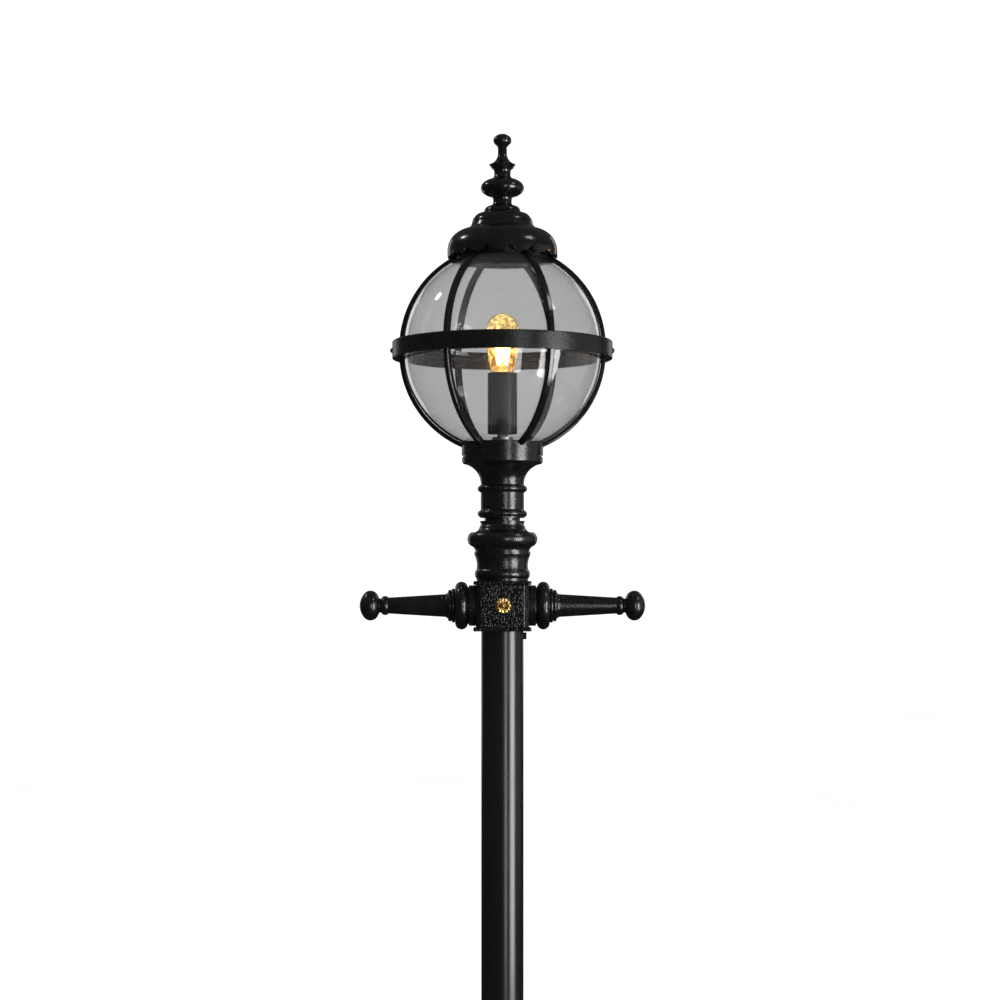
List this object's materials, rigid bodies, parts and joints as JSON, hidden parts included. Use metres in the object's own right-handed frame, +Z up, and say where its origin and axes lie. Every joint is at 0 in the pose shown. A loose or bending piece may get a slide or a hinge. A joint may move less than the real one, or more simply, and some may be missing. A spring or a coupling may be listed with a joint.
{
  "type": "street lamp",
  "caption": "Victorian-style post-top street lamp with a caged clear globe, scalloped canopy, turned finial, cast capital, ladder arms and a tube post on a base plate.",
  "frame": {"origin": "on the ground, at the centre of the base plate's underside", "axes": "+Z up along the post, -Y the front with a brass rosette, the ladder arms along X"},
  "size_m": [0.514, 0.396, 2.099],
  "materials": {
    "black_iron": "gloss black paint on a pebbly casting",
    "satin_black_steel": "satin black paint on steel tube",
    "brass": "polished",
    "clear_globe": "clear, smooth",
    "gasket_rubber": "matt",
    "zinc_steel": "zinc plated",
    "charcoal_sleeve": "satin charcoal",
    "holder_plastic": "moulded",
    "lead_insulation": "heatproof insulation",
    "terminal_plastic": "moulded",
    "amber_glass": "clear amber",
    "stem_glass": "clear",
    "filament": "glowing"
  },
  "bodies": {
    "post": {"base_plate": "black_iron", "base_collar": "black_iron", "post_tube": "satin_black_steel", "post_set_screw": "black_iron", "ladder_block": "black_iron", "ladder_arm_left": "black_iron", "ladder_arm_right": "black_iron", "arm_studs": "zinc_steel", "rosette_front": "brass", "rosette_back": "brass", "rosette_screws": "brass", "post_capital": "black_iron", "lantern_grub_screws": "zinc_steel", "gallery": "black_iron", "cage_foot_ring": "black_iron", "lower_ribs": "black_iron", "lower_hoop": "black_iron", "equator_band": "black_iron", "lower_globe": "clear_globe", "neck_gasket": "gasket_rubber", "equator_gasket": "gasket_rubber", "lamp_stool": "zinc_steel", "stool_screws": "zinc_steel", "holder_nipple": "zinc_steel", "nipple_nut": "zinc_steel", "lamp_sleeve": "charcoal_sleeve", "lampholder": "holder_plastic", "holder_contacts": "brass", "holder_leads": "lead_insulation", "terminal_block": "terminal_plastic", "cable_clamp": "zinc_steel", "earth_stud": "brass"},
    "lid": {"lid_hoop": "black_iron", "upper_ribs": "black_iron", "crown_ring": "black_iron", "upper_globe": "clear_globe", "crown_bridge": "zinc_steel", "bridge_screws": "zinc_steel", "canopy": "black_iron", "canopy_cap": "black_iron", "finial": "black_iron", "finial_stud": "zinc_steel", "stud_nut": "zinc_steel"},
    "bulb": {"bulb_glass": "amber_glass", "bulb_cap": "brass", "bulb_stem": "stem_glass", "bulb_filament": "filament"},
    "band_screw_left": {"band_screw_left": "black_iron"},
    "band_screw_right": {"band_screw_right": "black_iron"}
  },
  "joints": [
    {"name": "lid_lift", "type": "slide", "parent": "post", "child": "lid", "axis": [0, 0, 1], "range_m": [0, 0.15]},
    {"name": "bulb_unscrew", "type": "slide", "parent": "post", "child": "bulb", "axis": [0, 0, 1], "range_m": [0, 0.03]},
    {"name": "left_screw_out", "type": "slide", "parent": "post", "child": "band_screw_left", "axis": [-1, 0, 0], "range_m": [0, 0.006]},
    {"name": "right_screw_out", "type": "slide", "parent": "post", "child": "band_screw_right", "axis": [1, 0, 0], "range_m": [0, 0.006]}
  ]
}
